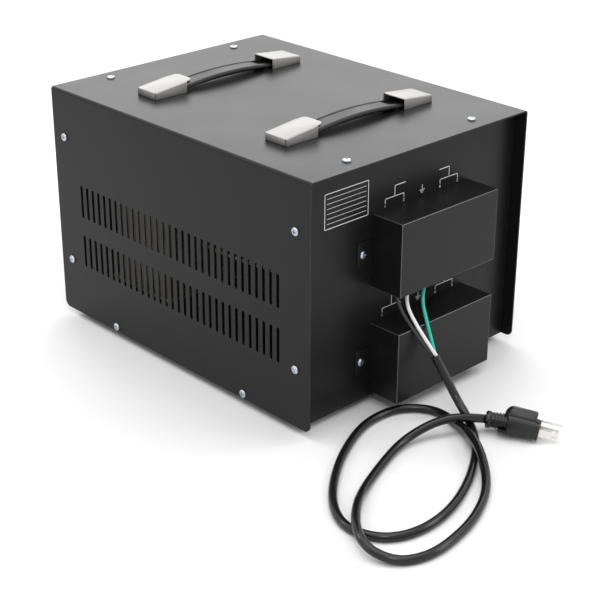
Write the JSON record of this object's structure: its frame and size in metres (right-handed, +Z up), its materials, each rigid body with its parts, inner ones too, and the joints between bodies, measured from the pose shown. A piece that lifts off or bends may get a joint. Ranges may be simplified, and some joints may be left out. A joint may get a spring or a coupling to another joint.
{
  "type": "step-up and step-down autotransformer",
  "caption": "Black vented steel cabinet with strap handles, covered input and output terminals behind, meter, breaker and outlets in front, and a looped supply cord with plug.",
  "frame": {"origin": "on the floor under the middle of the cabinet's cover", "axes": "+Z up, -Y out of the front panel, +Y out of the terminal side, X across the cabinet"},
  "size_m": [0.4071, 0.5992, 0.2696],
  "materials": {
    "black_coat": "satin powder coat",
    "zinc": "bright zinc",
    "nickel": "satin nickel",
    "strap_rubber": "satin",
    "foot_rubber": "matte",
    "black_moulding": "matte",
    "toggle_plastic": "gloss",
    "brass_plate": "satin",
    "core_steel": "varnished laminations",
    "former": "matte",
    "winding": "enamelled wire under pale tape",
    "frame_steel": "satin",
    "lead_black": "satin",
    "lead_white": "satin",
    "lead_green": "satin",
    "lead_inner": "satin",
    "jacket": "satin",
    "dial_white": "matte",
    "needle_red": "painted",
    "clear": "clear",
    "lamp_red": "clear red"
  },
  "bodies": {
    "cabinet": {"cover": "black_coat", "front_panel": "black_coat", "rear_panel": "black_coat", "base_plate": "frame_steel", "feet": "foot_rubber", "foot_screws": "zinc", "cover_side_screws": "zinc", "cover_top_screws": "zinc", "panel_screws": "zinc", "terminal_cover_screws": "zinc", "front_handle_caps": "nickel", "rear_handle_caps": "nickel", "handle_screws": "zinc", "handle_nuts": "zinc", "input_terminal_cover": "black_coat", "output_terminal_cover": "black_coat", "input_terminal_block": "black_moulding", "output_terminal_block": "black_moulding", "terminal_plates": "brass_plate", "terminal_screws": "zinc", "transformer_core": "core_steel", "left_bobbin": "former", "right_bobbin": "former", "left_winding": "winding", "right_winding": "winding", "front_core_foot": "frame_steel", "rear_core_foot": "frame_steel", "upper_core_bars": "frame_steel", "core_bolts": "zinc", "core_nuts": "zinc", "transformer_bolts": "zinc", "transformer_nuts": "zinc", "panel_grommets": "foot_rubber", "inner_leads": "lead_inner", "breaker_body": "black_moulding", "voltmeter_case": "toggle_plastic", "voltmeter_dial": "dial_white", "voltmeter_window": "clear", "pilot_lamp_holder": "zinc", "pilot_lamp_lens": "lamp_red", "left_outlet": "black_moulding", "right_outlet": "black_moulding", "lead_black": "lead_black", "lead_white": "lead_white", "lead_green": "lead_green", "cord_jacket": "jacket", "plug_strain_relief": "jacket", "plug_body": "jacket", "plug_blades": "nickel", "plug_ground_pin": "nickel"},
    "front_grip": {"front_strap_grip": "strap_rubber"},
    "front_tongue_left": {"front_strap_tongue_left": "strap_rubber"},
    "front_tongue_right": {"front_strap_tongue_right": "strap_rubber"},
    "rear_grip": {"rear_strap_grip": "strap_rubber"},
    "rear_tongue_left": {"rear_strap_tongue_left": "strap_rubber"},
    "rear_tongue_right": {"rear_strap_tongue_right": "strap_rubber"},
    "toggle": {"breaker_toggle": "toggle_plastic"},
    "needle": {"voltmeter_needle": "needle_red"}
  },
  "joints": [
    {"name": "front_strap_lift", "type": "slide", "parent": "cabinet", "child": "front_grip", "axis": [0, 0, 1], "range_m": [0, 0.014]},
    {"name": "front_tongue_left_slide", "type": "slide", "parent": "cabinet", "child": "front_tongue_left", "axis": [1, 0, 0], "range_m": [0, 0.0056]},
    {"name": "front_tongue_right_slide", "type": "slide", "parent": "cabinet", "child": "front_tongue_right", "axis": [-1, 0, 0], "range_m": [0, 0.0056]},
    {"name": "rear_strap_lift", "type": "slide", "parent": "cabinet", "child": "rear_grip", "axis": [0, 0, 1], "range_m": [0, 0.014]},
    {"name": "rear_tongue_left_slide", "type": "slide", "parent": "cabinet", "child": "rear_tongue_left", "axis": [1, 0, 0], "range_m": [0, 0.0056]},
    {"name": "rear_tongue_right_slide", "type": "slide", "parent": "cabinet", "child": "rear_tongue_right", "axis": [-1, 0, 0], "range_m": [0, 0.0056]},
    {"name": "breaker_throw", "type": "hinge", "parent": "cabinet", "child": "toggle", "pos_m": [-0.092, -0.1715, 0.196], "axis": [1, 0, 0], "range_deg": [-44, 0]},
    {"name": "needle_swing", "type": "hinge", "parent": "cabinet", "child": "needle", "pos_m": [0, -0.183, 0.178], "axis": [0, 1, 0], "range_deg": [0, 90], "stiffness_Nm_per_rad": 0.0005}
  ],
  "couplings": [
    {"joint": "front_tongue_left_slide", "follows": "front_strap_lift", "ratio": 0.4},
    {"joint": "front_tongue_right_slide", "follows": "front_strap_lift", "ratio": 0.4},
    {"joint": "rear_tongue_left_slide", "follows": "rear_strap_lift", "ratio": 0.4},
    {"joint": "rear_tongue_right_slide", "follows": "rear_strap_lift", "ratio": 0.4}
  ]
}
